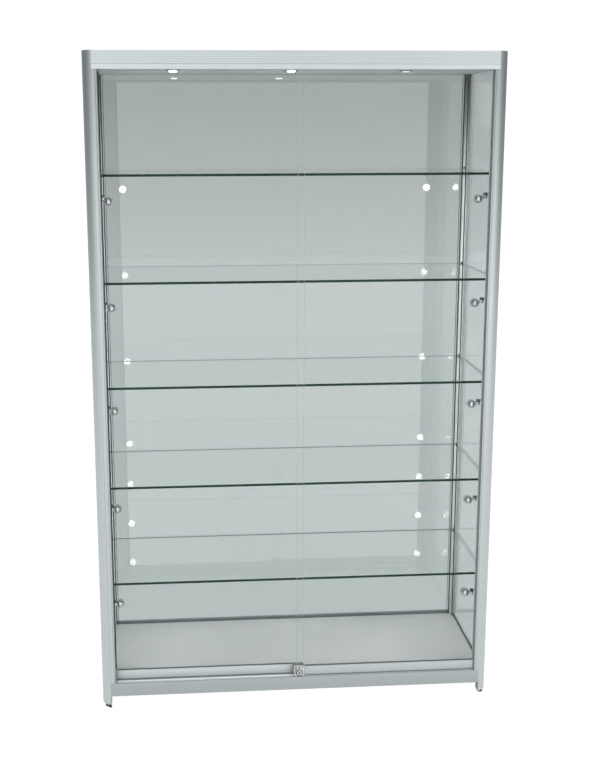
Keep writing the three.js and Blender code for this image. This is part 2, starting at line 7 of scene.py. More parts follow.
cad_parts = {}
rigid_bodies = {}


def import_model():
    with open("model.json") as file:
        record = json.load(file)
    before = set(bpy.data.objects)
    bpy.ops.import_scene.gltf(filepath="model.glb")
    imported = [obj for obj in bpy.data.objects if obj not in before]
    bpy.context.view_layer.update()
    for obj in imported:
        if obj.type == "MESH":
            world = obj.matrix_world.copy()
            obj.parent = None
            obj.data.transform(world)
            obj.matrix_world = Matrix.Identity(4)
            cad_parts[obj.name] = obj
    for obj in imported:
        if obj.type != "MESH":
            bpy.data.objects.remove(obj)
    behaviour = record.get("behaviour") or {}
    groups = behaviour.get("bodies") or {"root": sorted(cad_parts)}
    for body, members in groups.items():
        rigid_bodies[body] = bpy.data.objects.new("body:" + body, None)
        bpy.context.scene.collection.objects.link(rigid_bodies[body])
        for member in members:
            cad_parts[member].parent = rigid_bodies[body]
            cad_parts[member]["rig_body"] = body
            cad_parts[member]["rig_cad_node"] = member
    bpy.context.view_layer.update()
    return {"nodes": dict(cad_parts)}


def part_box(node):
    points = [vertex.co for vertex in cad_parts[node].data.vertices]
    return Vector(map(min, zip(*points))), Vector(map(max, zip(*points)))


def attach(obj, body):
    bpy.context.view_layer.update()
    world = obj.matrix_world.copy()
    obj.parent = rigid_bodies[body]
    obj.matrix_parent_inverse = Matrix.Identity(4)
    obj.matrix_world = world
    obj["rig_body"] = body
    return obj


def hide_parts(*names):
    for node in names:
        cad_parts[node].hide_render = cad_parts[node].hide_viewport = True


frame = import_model()
nodes = frame["nodes"]

# Sizes in millimetres, as in the frame: x to the right, y back, z up.
MM = 0.001
HALF_WIDTH, HALF_DEPTH, HEIGHT = 600, 225, 1960
SHELF_HEIGHTS = [1617, 1307, 995, 688, 382]
SIDES = {"left": -1, "right": 1}
POST_BOTTOM, RAIL_TOP = 8, 80
LIP_BOTTOM, CEILING_BOTTOM, HEADER_GROOVE = 1909, 1916, 1923
FRONT_RAIL_HALF = 571.7
FRONT_DOOR, REAR_DOOR, DOOR_RAIL = 5.9, 21.6, 12
LOCK_X, LOCK_Z = 9, 93
KNUCKLE_INSET, KNUCKLE_DEPTH, KNUCKLE_DROP = 44, 56, 62
HEAD_OFFSET, HEAD_AIM = (13, 22, -13), (0.3, 0.95, -0.08)
DOWNLIGHTS, DOWNLIGHT_DEPTH = [-350, 0, 345], 215

UP, BACK, ACROSS = Vector((0, 0, 1)), Vector((0, 1, 0)), Vector((1, 0, 0))


def place(x, y, z):
    return Vector((x, y, z)) * MM


def inside(side, inset, behind, z):
    """A point by how far in from the case's side and back from its front face it is."""
    return place(side * (HALF_WIDTH - inset), behind - HALF_DEPTH, z)


# ------------------------------------------------------------------ finishes
def new_finish(name):
    finish = bpy.data.materials.new(name)
    finish.use_nodes = True
    return finish, finish.node_tree, finish.node_tree.nodes["Principled BSDF"]


def noise(tree, stretch, scale, detail=2.0):
    """Cloudy noise, drawn out along an axis by a small number in stretch."""
    where = tree.nodes.new("ShaderNodeTexCoord")
    mapping = tree.nodes.new("ShaderNodeMapping")
    mapping.inputs["Scale"].default_value = stretch
    pattern = tree.nodes.new("ShaderNodeTexNoise")
    pattern.inputs["Scale"].default_value = scale
    pattern.inputs["Detail"].default_value = detail
    tree.links.new(where.outputs["Object"], mapping.inputs["Vector"])
    tree.links.new(mapping.outputs["Vector"], pattern.inputs["Vector"])
    return pattern.outputs["Fac"]


def spread(tree, value, low, high, start=0.3, end=0.7):
    """Turns a pattern's start..end into low..high."""
    ramp = tree.nodes.new("ShaderNodeMapRange")
    ramp.inputs["From Min"].default_value = start
    ramp.inputs["From Max"].default_value = end
    ramp.inputs["To Min"].default_value = low
    ramp.inputs["To Max"].default_value = high
    tree.links.new(value, ramp.inputs["Value"])
    return ramp.outputs["Result"]


def two_tone(tree, value, dark, light):
    mix = tree.nodes.new("ShaderNodeMix")
    mix.data_type = "RGBA"
    mix.inputs["A"].default_value = (*dark, 1)
    mix.inputs["B"].default_value = (*light, 1)
    tree.links.new(value, mix.inputs["Factor"])
    return mix.outputs["Result"]


def relief(tree, shader, value, strength, depth):
    bump = tree.nodes.new("ShaderNodeBump")
    bump.inputs["Strength"].default_value = strength
    bump.inputs["Distance"].default_value = depth
    tree.links.new(value, bump.inputs["Height"])
    tree.links.new(bump.outputs["Normal"], shader.inputs["Normal"])


def height_share(tree, bottom, top):
    """0 at or below the first height and 1 at or above the second, in metres."""
    where = tree.nodes.new("ShaderNodeTexCoord")
    split = tree.nodes.new("ShaderNodeSeparateXYZ")
    tree.links.new(where.outputs["Object"], split.inputs["Vector"])
    return spread(tree, split.outputs["Z"], 0, 1, bottom, top)


def satin_aluminium(name, grain, tone, roughness, shade=1.0, shade_from=1.25, metallic=1.0):
    """Silver anodised aluminium with fine drawn lines along the extrusion, and painted shade that darkens it
    higher up.
    """
    finish, tree, shader = new_finish(name)
    lines = noise(tree, grain, 1.0, 3)
    clouds = noise(tree, (1, 1, 1), 3.5, 4)
    dark = [c * 0.93 for c in tone]
    shader.inputs["Metallic"].default_value = metallic
    both = tree.nodes.new("ShaderNodeMath")
    both.operation = "MULTIPLY_ADD"
    both.inputs[1].default_value = 0.45
    tree.links.new(clouds, both.inputs[0])
    tree.links.new(spread(tree, lines, 0.0, 0.6), both.inputs[2])
    colour = two_tone(tree, both.outputs[0], dark, tone)
    # painted shade: the colour is multiplied down towards the top of the case
    if shade < 1:
        painted_shade = tree.nodes.new("ShaderNodeMix")
        painted_shade.data_type = "RGBA"
        painted_shade.blend_type = "MULTIPLY"
        painted_shade.inputs["B"].default_value = (shade, shade, shade, 1)
        tree.links.new(height_share(tree, shade_from, 1.9), painted_shade.inputs["Factor"])
        tree.links.new(colour, painted_shade.inputs["A"])
        colour = painted_shade.outputs["Result"]
    tree.links.new(colour, shader.inputs["Base Color"])
    tree.links.new(spread(tree, lines, roughness - 0.05, roughness + 0.08), shader.inputs["Roughness"])
    relief(tree, shader, lines, 0.12, 0.00005)
    return finish


def polished_metal(name, tone, roughness):
    """Bright plated metal, with faint wipe marks and cloudiness."""
    finish, tree, shader = new_finish(name)
    wipes = noise(tree, (60, 60, 220), 1.0, 4)
    clouds = noise(tree, (1, 1, 1), 90, 3)
    shader.inputs["Metallic"].default_value = 1
    dark = [c * 0.88 for c in tone]
    tree.links.new(two_tone(tree, spread(tree, clouds, 0, 1), dark, tone), shader.inputs["Base Color"])
    tree.links.new(spread(tree, wipes, roughness, roughness + 0.08), shader.inputs["Roughness"])
    return finish


def pane_glass(name, upper, lower, ior, haze=0.0):
    """Float glass, with painted shade that darkens it towards the top of the case, and faint smears."""
    finish, tree, shader = new_finish(name)
    # painted shade: the tint goes from the lower colour to the darker upper one between 1.25 and 1.85 m
    tree.links.new(two_tone(tree, height_share(tree, 1.25, 1.85), lower, upper), shader.inputs["Base Color"])
    smears = noise(tree, (1, 1, 0.35), 7, 5)
    tree.links.new(spread(tree, smears, haze, haze + 0.015), shader.inputs["Roughness"])
    shader.inputs["IOR"].default_value = ior
    shader.inputs["Transmission Weight"].default_value = 1
    return finish


def glass_edge(name, dark, light, shadow_x=0.0):
    """The ground and polished edge of a sheet of glass, dark green from the depth behind it."""
    finish, tree, shader = new_finish(name)
    depth = noise(tree, (4, 4, 300), 1.0, 3)
    colour = two_tone(tree, spread(tree, depth, 0, 1), dark, light)
    if shadow_x:
        # painted shadow: a near-black patch where the far corner of the case shows through the edge
        where = tree.nodes.new("ShaderNodeTexCoord")
        split = tree.nodes.new("ShaderNodeSeparateXYZ")
        tree.links.new(where.outputs["Object"], split.inputs["Vector"])
        near = tree.nodes.new("ShaderNodeMath")
        near.operation = "COMPARE"
        near.inputs[1].default_value = shadow_x
        near.inputs[2].default_value = 0.008
        tree.links.new(split.outputs["X"], near.inputs[0])
        shadow = tree.nodes.new("ShaderNodeMix")
        shadow.data_type = "RGBA"
        shadow.inputs["B"].default_value = (0.0005, 0.001, 0.001, 1)
        tree.links.new(near.outputs[0], shadow.inputs["Factor"])
        tree.links.new(colour, shadow.inputs["A"])
        colour = shadow.outputs["Result"]
    tree.links.new(colour, shader.inputs["Base Color"])
    tree.links.new(spread(tree, depth, 0.3, 0.45), shader.inputs["Roughness"])
    shader.inputs["IOR"].default_value = 1.5
    shader.inputs["Specular IOR Level"].default_value = 0.12
    return finish


def moulded(name, dark, light, roughness, grain):
    """Plastic or laminate with a fine moulded texture."""
    finish, tree, shader = new_finish(name)
    texture = noise(tree, (1, 1, 1), grain, 3)
    clouds = noise(tree, (1, 1, 1), 5, 4)
    tree.links.new(two_tone(tree, spread(tree, clouds, 0, 1), dark, light), shader.inputs["Base Color"])
    tree.links.new(spread(tree, texture, roughness - 0.06, roughness + 0.08), shader.inputs["Roughness"])
    relief(tree, shader, texture, 0.2, 0.00015)
    return finish


def pile(name, dark, light):
    """Short brush pile in a sealing strip."""
    finish, tree, shader = new_finish(name)
    hairs = noise(tree, (2500, 2500, 60), 1.0, 2)
    tree.links.new(two_tone(tree, spread(tree, hairs, 0, 1), dark, light), shader.inputs["Base Color"])
    shader.inputs["Roughness"].default_value = 0.9
    shader.inputs["Sheen Weight"].default_value = 0.3
    relief(tree, shader, hairs, 0.6, 0.0004)
    return finish


def lit_lens(name, glow, strength):
    """A lamp's lens with the light behind it, brightest in fine cells."""
    finish, tree, shader = new_finish(name)
    cells = noise(tree, (1, 1, 1), 900, 1)
    shader.inputs["Base Color"].default_value = (0.9, 0.9, 0.88, 1)
    shader.inputs["Roughness"].default_value = 0.2
    shader.inputs["Emission Color"].default_value = (*glow, 1)
    tree.links.new(spread(tree, cells, strength * 0.85, strength), shader.inputs["Emission Strength"])
    return finish


# how the drawn lines of an extrusion are stretched: long along one axis, fine across it
ALONG_X, ALONG_Y, ALONG_Z = (5, 1500, 1500), (1500, 5, 1500), (1500, 1500, 5)
SILVER = (0.53, 0.575, 0.585)
DEEP_SILVER = (0.40, 0.435, 0.445)
# the upright, rear post and bead metals below carry painted shade that darkens them towards the top of the case
upright_metal = satin_aluminium("satin_aluminium_upright", ALONG_Z, SILVER, 0.5, 0.66)
header_metal = satin_aluminium("satin_aluminium_header", ALONG_X, SILVER, 0.48)
level_metal = satin_aluminium("satin_aluminium_level", ALONG_X, DEEP_SILVER, 0.5)
depth_metal = satin_aluminium("satin_aluminium_deep", ALONG_Y, SILVER, 0.5)
track_metal = satin_aluminium("satin_aluminium_track", ALONG_X, (0.82, 0.86, 0.87), 0.5)
door_metals = {
    # the rear door's rail metal is a lighter copy of the front door's: painted light that lifts the dark track
    # gap it reflects
    "left": satin_aluminium("satin_aluminium_rear_door", ALONG_X, (0.60, 0.645, 0.655), 0.62),
    "right": satin_aluminium("satin_aluminium_front_door", ALONG_X, SILVER, 0.62),
}
rear_metal = satin_aluminium("satin_aluminium_rear_post", ALONG_Z, (0.84, 0.88, 0.88), 0.5, 0.35, 1.55)
# the bead is lightened and made mostly non-metallic so it stays bright in the shaded corner: partly a real
# bead, partly painted highlight
bead_and_painted_highlight = satin_aluminium("bead_and_painted_highlight", ALONG_Z, (0.76, 0.78, 0.775), 0.4, 0.3, 1.6, 0.15)
chrome = polished_metal("lamp_chrome", (0.6, 0.61, 0.62), 0.05)
# near-black plated metal for the lamp joints, clamps and downlight rims: its tone is darkened as painted
# reflection of a dark room
dark_chrome = polished_metal("darkened_chrome", (0.13, 0.14, 0.14), 0.12)
lock_chrome = polished_metal("lock_chrome", (0.55, 0.57, 0.57), 0.12)
steel = polished_metal("screw_steel", (0.5, 0.5, 0.5), 0.3)
door_clear = pane_glass("door_glass_clear", (0.985, 0.993, 0.99), (0.985, 0.993, 0.99), 1.12)
shelf_clear = pane_glass("shelf_glass_clear", (0.955, 0.975, 0.97), (0.955, 0.975, 0.97), 1.5)
# the back and side panes carry painted shade, darker at the top
back_tint = pane_glass("back_glass_tinted", (0.30, 0.342, 0.328), (0.45, 0.502, 0.498), 1.75)
side_tint = pane_glass("side_glass_tinted", (0.41, 0.46, 0.46), (0.52, 0.575, 0.572), 1.75)
# the shelf edges carry a painted shadow near x = 0.515 m, where the far corner of the case shows through them
shelf_edge = glass_edge("shelf_edge_green", (0.003, 0.020, 0.014), (0.009, 0.036, 0.027), 0.515)
dark_seal = glass_edge("dark_green_seal", (0.006, 0.014, 0.010), (0.016, 0.028, 0.022))
pane_edge = glass_edge("pane_edge_green", (0.05, 0.14, 0.11), (0.13, 0.27, 0.22))
door_edge = glass_edge("door_edge_pale", (0.34, 0.41, 0.395), (0.42, 0.49, 0.475))
deck_board = moulded("deck_laminate", (0.525, 0.557, 0.552), (0.59, 0.62, 0.617), 0.42, 700)
# the ceiling is a darker copy of the pale board used for the cover: painted shade on its underside
ceiling_board = moulded("ceiling_laminate", (0.42, 0.46, 0.47), (0.48, 0.515, 0.525), 0.5, 700)
cover_board = moulded("cover_laminate", (0.62, 0.65, 0.645), (0.68, 0.71, 0.70), 0.5, 500)
black_rubber = moulded("black_rubber", (0.006, 0.007, 0.007), (0.018, 0.02, 0.02), 0.6, 1200)
white_nylon = moulded("white_nylon", (0.7, 0.7, 0.67), (0.8, 0.8, 0.77), 0.4, 900)
grey_pile = pile("grey_pile", (0.12, 0.135, 0.132), (0.21, 0.23, 0.225))
grey_rubber = moulded("grey_rubber", (0.10, 0.115, 0.11), (0.15, 0.165, 0.16), 0.6, 1200)
spot_light = lit_lens("spot_lens", (1.0, 0.99, 0.96), 160)
down_light = lit_lens("downlight_lens", (1.0, 0.99, 0.97), 9)
dim_light = lit_lens("dim_downlight_lens", (1.0, 0.99, 0.97), 0.25)


# ------------------------------------------------------------------ modelling
def put_down():
    if bpy.context.object and bpy.context.object.mode == "EDIT":
        bpy.ops.object.mode_set(mode="OBJECT")
    bpy.ops.object.select_all(action="DESELECT")


def begin(name, first):
    """One loose point, open for editing, to draw edges from."""
    put_down()
    bpy.ops.mesh.primitive_plane_add(size=2 * MM, location=first)
    piece = bpy.context.object
    piece.name = name
    bpy.ops.object.transform_apply(location=True, rotation=False, scale=False)
    bpy.ops.object.mode_set(mode="EDIT")
    bpy.ops.mesh.select_mode(type="VERT")
    bpy.ops.mesh.select_all(action="SELECT")
    bpy.ops.mesh.merge(type="CENTER")
    return piece


def pull(step):
    bpy.ops.mesh.extrude_region_move(TRANSFORM_OT_translate={"value": step})


def draw(corners):
    for here, there in zip(corners, corners[1:]):
        pull(there - here)


def close_up(piece, bevel=0.0, segments=2):
    """Turns the faces outwards and rounds the sharp edges."""
    bpy.ops.mesh.select_all(action="SELECT")
    bpy.ops.mesh.normals_make_consistent(inside=False)
    bpy.ops.object.mode_set(mode="OBJECT")
    if bevel:
        rounding = piece.modifiers.new("rounding", "BEVEL")
        rounding.width = bevel * MM
        rounding.segments = segments
        rounding.limit_method = "ANGLE"
        rounding.angle_limit = math.radians(32)
        bpy.ops.object.modifier_apply(modifier=rounding.name)
    bpy.ops.object.shade_smooth_by_angle(angle=math.radians(34))
    return piece


def extruded(name, corners, step, bevel=0.0, segments=2):
    """A closed outline, filled and pulled along a straight line."""
    piece = begin(name, corners[0])
    draw(corners)
    bpy.ops.mesh.select_all(action="SELECT")
    bpy.ops.mesh.edge_face_add()
    pull(step)
    return close_up(piece, bevel, segments)


def turned(name, foot, axis, profile, steps=32, bevel=0.0):
    """Half a section, as distances from an axis and heights along it, spun all the way round."""
    axis = axis.normalized()
    out = axis.orthogonal().normalized()
    points = [foot + (out * radius + axis * height) * MM for radius, height in profile]
    piece = begin(name, points[0])
    draw(points)
    bpy.ops.mesh.select_all(action="SELECT")
    bpy.ops.mesh.spin(steps=steps, angle=math.tau, center=foot, axis=axis)
    bpy.ops.mesh.select_all(action="SELECT")
    bpy.ops.mesh.remove_doubles(threshold=0.002 * MM)
    return close_up(piece, bevel)


def slab(name, low, high, bevel=0.3, segments=2):
    """A bar or sheet between two corners, with its edges eased."""
    put_down()
    bpy.ops.mesh.primitive_cube_add(size=1, location=(low + high) / 2)
    piece = bpy.context.object
    piece.name = name
    piece.scale = high - low
    bpy.ops.object.transform_apply(location=True, rotation=False, scale=True)
    bpy.ops.object.mode_set(mode="EDIT")
    return close_up(piece, bevel, segments)


def rod(name, start, end, radius, steps=20, bevel=0.4):
    length = (end - start).length / MM
    profile = [(0, 0), (radius, 0), (radius, length), (0, length)]
    return turned(name, start, end - start, profile, steps, bevel)


def joined(name, pieces):
    """Makes one piece of several."""
    put_down()
    for piece in pieces:
        piece.select_set(True)
    bpy.context.view_layer.objects.active = pieces[0]
    bpy.ops.object.join()
    pieces[0].name = name
    return pieces[0]


def coat(piece, finish):
    piece.data.materials.clear()
    piece.data.materials.append(finish)
    return piece


def edge_coat(piece, finish, edge_finish, flat_axis):
    """One finish on the two broad faces of a sheet and another on its edges."""
    coat(piece, finish)
    piece.data.materials.append(edge_finish)
    for face in piece.data.polygons:
        face.material_index = 0 if abs(face.normal[flat_axis]) > 0.9 else 1
    return piece


def mount(piece, body, record_slot, *stands_for):
    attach(piece, body)
    if stands_for:
        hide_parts(*stands_for)
    return piece


# ------------------------------------------------------------------ posts, jambs and feet
def rounded_corner(radius, start, end, steps):
    """Points of an arc about (radius, radius), from one angle to another."""
    angles = [start + (end - start) * i / steps for i in range(steps + 1)]
    return [(radius * (1 - math.sin(a)), radius * (1 - math.cos(a))) for a in angles]


def side_slot(end):
    return [(2.6, end), (2.6, end - 8), (8.4, end - 8), (8.4, end)]


def front_post(side_name, side):
    width, radius, leg = 28, 38, 46
    arc = rounded_corner(radius, math.asin((radius - width) / radius), math.pi / 2, 26)
    outline = [*arc, (0, leg), *side_slot(leg), (11, leg), (11, width), (width, width)]
    corners = [inside(side, u, v, POST_BOTTOM) for u, v in outline]
    post = extruded(f"corner_post_{side_name}", corners, UP * (HEIGHT - POST_BOTTOM) * MM, 0.35)
    coat(post, upright_metal)
    mount(post, "case", "aluminium_frame", f"post_front_{side_name}")
    groove = [(37.9, 0), (38.1, 1.6), (38.9, 1.6), (39.1, 0)]
    jamb_outline = [(28.4, 0), *groove, (42, 0), (42, 18), (28.4, 18)]
    jamb = extruded(
        f"jamb_{side_name}",
        [inside(side, u, v, RAIL_TOP + 0.3) for u, v in jamb_outline],
        UP * (LIP_BOTTOM - RAIL_TOP - 0.6) * MM,
        0.3,
    )
    coat(jamb, upright_metal)
    mount(jamb, "case", "aluminium_frame", f"door_jamb_{side_name}")
    seal_outline = [(42, 0.9), (43, 0.9), (43, 28), (40, 28), (40, 18.2), (42, 18.2)]
    seal = extruded(
        f"jamb_seal_{side_name}",
        [inside(side, u, v, RAIL_TOP + 4) for u, v in seal_outline],
        UP * (LIP_BOTTOM - RAIL_TOP - 5) * MM,
        0.25,
    )
    coat(seal, grey_pile)
    mount(seal, "case", "black_plastic")
    if side > 0:
        return
    flap_outline = [(43.1, 18.6), (46.2, 19), (46.2, 19.8), (43.1, 20.6)]
    flap = extruded(
        f"jamb_flap_{side_name}",
        [inside(side, u, v, RAIL_TOP + 40) for u, v in flap_outline],
        UP * (LIP_BOTTOM - RAIL_TOP - 45) * MM,
        0.2,
    )
    coat(flap, dark_seal)
    mount(flap, "case", "black_plastic")


def back_post(side_name, side):
    radius, steps = 6, 8
    angles = [math.pi / 2 * i / steps for i in range(steps + 1)]
    corner = [(radius * (1 - math.cos(a)), radius * (1 - math.sin(a))) for a in angles]
    outline = [
        *reversed(corner),
        (0, 35),
        *side_slot(35),
        (11, 35),
        (11, 19),
        (18, 19),
        (18, 16.5),
        (13, 16.5),
        (13, 10.5),
        (18, 10.5),
        (18, 0),
    ]
    corners = [inside(side, u, 2 * HALF_DEPTH - w, POST_BOTTOM) for u, w in outline]
    post = extruded(f"rear_post_{side_name}", corners, UP * (HEIGHT - POST_BOTTOM) * MM, 0.35)
    coat(post, rear_metal)
    mount(post, "case", "aluminium_frame", f"post_back_{side_name}")
    # dark gaskets that hold the back and side panes in the post, with bright beads between them that are partly
    # painted highlight
    lines = [
        (black_rubber, [(18.6, 16.7), (22.2, 16.7), (22.2, 18.6), (18.6, 18.6)]),
        (grey_rubber, [(25.6, 16.7), (27.8, 16.7), (27.8, 18.2), (25.6, 18.2)]),
        (bead_and_painted_highlight, [(14.6, 19.4), (18.3, 19.4), (18.3, 20.2), (14.6, 20.2)]),
        (black_rubber, [(10.9, 32.6), (13.8, 32.6), (13.8, 36.8), (10.9, 36.8)]),
    ]
    for number, (material, line) in enumerate(lines, 1):
        gasket = extruded(
            f"rear_gasket_{side_name}_{number}",
            [inside(side, u, 2 * HALF_DEPTH - w, 72.4) for u, w in line],
            UP * (CEILING_BOTTOM - 73) * MM,
            0.3,
        )
        coat(gasket, material)
        mount(gasket, "case", "aluminium_frame" if material is bead_and_painted_highlight else "black_plastic")


def foot(name, centre, radius):
    """A round glide with a rounded rim, a small collar and a threaded stud."""
    pad = turned(
        f"{name}_pad",
        centre,
        UP,
        [
            (0, 0),
            (radius - 1.4, 0),
            (radius, 1.2),
            (radius, 4.2),
            (radius - 1, 5),
            (4.6, 5.6),
            (4.2, 7.4),
            (0, 7.4),
        ],
        28,
        0.25,
    )
    pitch, turns = 1.25, 26
    thread = [(0, 7)]
    for turn in range(turns):
        thread += [(2.9, 7.6 + turn * pitch), (2.4, 8.2 + turn * pitch)]
    stud = turned(f"{name}_stud", centre, UP, [*thread, (0, 44)], 14)
    coat(pad, black_rubber)
    coat(stud, steel)
    return joined(name, [pad, stud])


def end_cap(side_name, side):
    """A black cap in the foot of a front post, wrapped round its inner corner, and a grey plug widened over the
    post's inner face as painted shade on that face.
    """
    if side < 0:
        face = [(28.7, 9.4), (28.7, 0.5), (24.6, 0.5), (18.5, 3.4), (18.5, 8.2)]
        cap = extruded(f"post_cap_{side_name}", [inside(side, u, 0.9, z) for u, z in face], BACK * 5 * MM, 0.3)
        coat(cap, black_rubber)
        mount(cap, "case", "black_plastic")
    # painted shade: the grey plug is widened to cover the post's inner face above the foot, which is in shade
    plug = [(26.6, 2.4), (28.5, 2.4), (28.5, 28.3), (26.6, 28.3)]
    plug_and_shade = extruded(f"post_plug_and_shade_{side_name}", [inside(side, u, v, 7.5) for u, v in plug], UP * 30 * MM, 0.3)
    coat(plug_and_shade, grey_rubber)
    mount(plug_and_shade, "case", "black_plastic")


for side_name, side in SIDES.items():
    front_post(side_name, side)
    back_post(side_name, side)
    end_cap(side_name, side)
    glide = foot(f"glide_front_{side_name}", inside(side, 17.5, 17.5, 0), 9)
    mount(glide, f"foot_front_{side_name}", "black_plastic", f"foot_front_{side_name}")
    glide = foot(f"glide_back_{side_name}", inside(side, 7.5, 2 * HALF_DEPTH - 9, 0), 7.5)
    mount(glide, f"foot_back_{side_name}", "black_plastic", f"foot_back_{side_name}")


# ------------------------------------------------------------------ rails of the frame
def front_header():
    """The header channel, with its shadow line and fine ribs drawn along the face."""
    back, back_bottom, under_top = 40, 1915.8, HEIGHT - 3
    outline = [
        (0, LIP_BOTTOM),
        (3, LIP_BOTTOM),
        (3, under_top),
        (37.4, under_top),
        (37.4, back_bottom),
        (back, back_bottom),
        (back, HEIGHT),
        (0, HEIGHT),
    ]
    first_rib, rib_spacing, ribs = 1955.5, 4.5, 7
    for rib in range(ribs):
        z = first_rib - rib * rib_spacing
        outline += [(0, z + 0.6), (0.45, z), (0, z - 0.6)]
    outline += [
        (0, HEADER_GROOVE + 0.8),
        (1.2, HEADER_GROOVE + 0.3),
        (1.2, HEADER_GROOVE - 0.3),
        (0, HEADER_GROOVE - 0.8),
    ]
    corners = [place(-FRONT_RAIL_HALF, v - HALF_DEPTH, z) for v, z in outline]
    header = extruded("front_header", corners, ACROSS * 2 * FRONT_RAIL_HALF * MM)
    coat(header, header_metal)
    mount(header, "case", "aluminium_frame", "header_front")


def softened(name, node, finish, bevel=0.3):
    """A copy of one of the frame's pieces with its corners eased."""
    put_down()
    nodes[node].select_set(True)
    bpy.context.view_layer.objects.active = nodes[node]
    bpy.ops.object.duplicate()
    rail = bpy.context.object
    rail.name = name
    rail.parent = None
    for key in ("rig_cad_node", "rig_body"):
        if key in rail:
            del rail[key]
    bpy.ops.object.mode_set(mode="EDIT")
    bpy.ops.mesh.select_all(action="SELECT")
    bpy.ops.mesh.remove_doubles(threshold=0.01 * MM)
    bpy.ops.mesh.dissolve_limited(angle_limit=math.radians(1))
    close_up(rail, bevel)
    coat(rail, finish)
    return rail


for name, node, finish in [
    ("front_base_rail", "base_rail_front", level_metal),
    ("rear_base_rail", "base_rail_back", level_metal),
    ("left_base_rail", "base_rail_left", depth_metal),
    ("right_base_rail", "base_rail_right", depth_metal),
    ("rear_header", "header_back", level_metal),
    ("left_header", "header_left", depth_metal),
    ("right_header", "header_right", depth_metal),
]:
    mount(softened(name, node, finish), "case", "aluminium_frame", node)

front_header()
for name, node, finish in [
    ("door_track", "bottom_track", track_metal),
    ("door_guide", "top_guide", level_metal),
]:
    mount(softened(name, node, finish, 0.15), "case", "door_metal", node)
for name, node, finish in [
    ("deck", "floor_deck", deck_board),
    ("ceiling", "ceiling_panel", ceiling_board),
    ("cover", "top_cover", cover_board),
]:
    mount(softened(name, node, finish, 0.4), "case", "pale_board", node)


# ------------------------------------------------------------------ glass
def sheet_of_glass(name, node, finish, edge_finish, flat_axis, bevel, body, record_slot, thicker=0.0):
    low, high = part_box(node)
    low[flat_axis] -= thicker * MM
    high[flat_axis] += thicker * MM
    pane = slab(name, low, high, bevel, 1)
    edge_coat(pane, finish, edge_finish, flat_axis)
    pane.visible_shadow = False
    return mount(pane, body, record_slot, node)


for number in range(1, 6):
    sheet_of_glass(
        f"glass_shelf_{number}", f"shelf_{number}", shelf_clear, shelf_edge, 2, 0.6, "case", "shelf_glass", 0.6
    )
for side_name in SIDES:
    sheet_of_glass(
        f"side_pane_{side_name}", f"side_glass_{side_name}", side_tint, pane_edge, 0, 0.4, "case", "case_glass"
    )
    sheet_of_glass(
        f"door_pane_{side_name}",
        f"door_glass_{side_name}",
        door_clear,
        door_edge,
        1,
        0.6,
        f"door_{side_name}",
        "door_glass",
    )
sheet_of_glass("back_pane", "back_glass", back_tint, pane_edge, 1, 0.4, "case", "back_glass")

# dark strips filling the gap between the deck and the side panes, painted shade for the shadow in that gap
for side_name, side in SIDES.items():
    low, high = sorted((side * 591.8, side * 589.4))
    strip = slab(
        f"deck_gap_shade_{side_name}",
        place(low, -178, 72.1),
        place(high, 189, 74.2),
        0.3,
    )
    coat(strip, grey_pile)
    mount(strip, "case", "black_plastic")


# ------------------------------------------------------------------ doors
def door_rail(side_name, front, x0, x1):
    inner, outer, low, top = 2.4, DOOR_RAIL - 2.4, 84.6, 112
    outline = [
        (0, low),
        (inner, low),
        (inner, 96.3),
        (outer, 96.3),
        (outer, low),
        (DOOR_RAIL, low),
        (DOOR_RAIL, top),
        (outer, top),
        (outer, 99),
        (inner, 99),
        (inner, top),
        (0, top),
    ]
    corners = [place(x0, front + v - HALF_DEPTH, z) for v, z in outline]
    rail = extruded(f"door_foot_rail_{side_name}", corners, ACROSS * (x1 - x0) * MM, 0.3)
    coat(rail, door_metals[side_name])
    mount(rail, f"door_{side_name}", "door_metal", f"door_rail_{side_name}")
    for number, v in enumerate((0.3, DOOR_RAIL - 2.1), 1):
        brush = slab(
            f"door_brush_{side_name}_{number}",
            place(x0 + 1, front + v - HALF_DEPTH, 82.2),
            place(x1 - 1, front + v + 1.8 - HALF_DEPTH, 84.5),
            0.3,
        )
        coat(brush, grey_pile)
        mount(brush, f"door_{side_name}", "black_plastic")
    for number, v in enumerate((inner + 0.1, outer - 0.9), 1):
        wedge = slab(
            f"door_gasket_{side_name}_{number}",
            place(x0 + 1, front + v - HALF_DEPTH, 108),
            place(x1 - 1, front + v + 0.8 - HALF_DEPTH, 112.8),
            0.3,
        )
        coat(wedge, grey_rubber)
        mount(wedge, f"door_{side_name}", "black_plastic")


door_rail("left", REAR_DOOR, -555, 22)
door_rail("right", FRONT_DOOR, 24, 555)


def wheel(name, node):
    """A nylon roller with two low flanges, on a short axle."""
    low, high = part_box(node)
    centre = (low + high) / 2
    flange = [(6.3, 2.5), (6.5, 2.2), (6.5, 1.7), (6, 1.3)]
    half = [(radius, -along) for radius, along in flange]
    tyre_profile = [(2.1, -2.5), *half, *reversed(flange), (2.1, 2.5), (2.1, -2.5)]
    tyre = turned(f"{name}_tyre", centre, BACK, tyre_profile, 40)
    axle_profile = [(0, -3.3), (1.7, -3.3), (2, -3), (2, 3), (1.7, 3.3), (0, 3.3)]
    axle = turned(f"{name}_axle", centre, BACK, axle_profile, 20)
    coat(tyre, white_nylon)
    coat(axle, steel)
    return joined(name, [tyre, axle])


for side_name in SIDES:
    for number in (1, 2):
        node = f"roller_{side_name}_{number}"
        mount(wheel(f"wheel_{side_name}_{number}", node), node, "white_plastic", node)


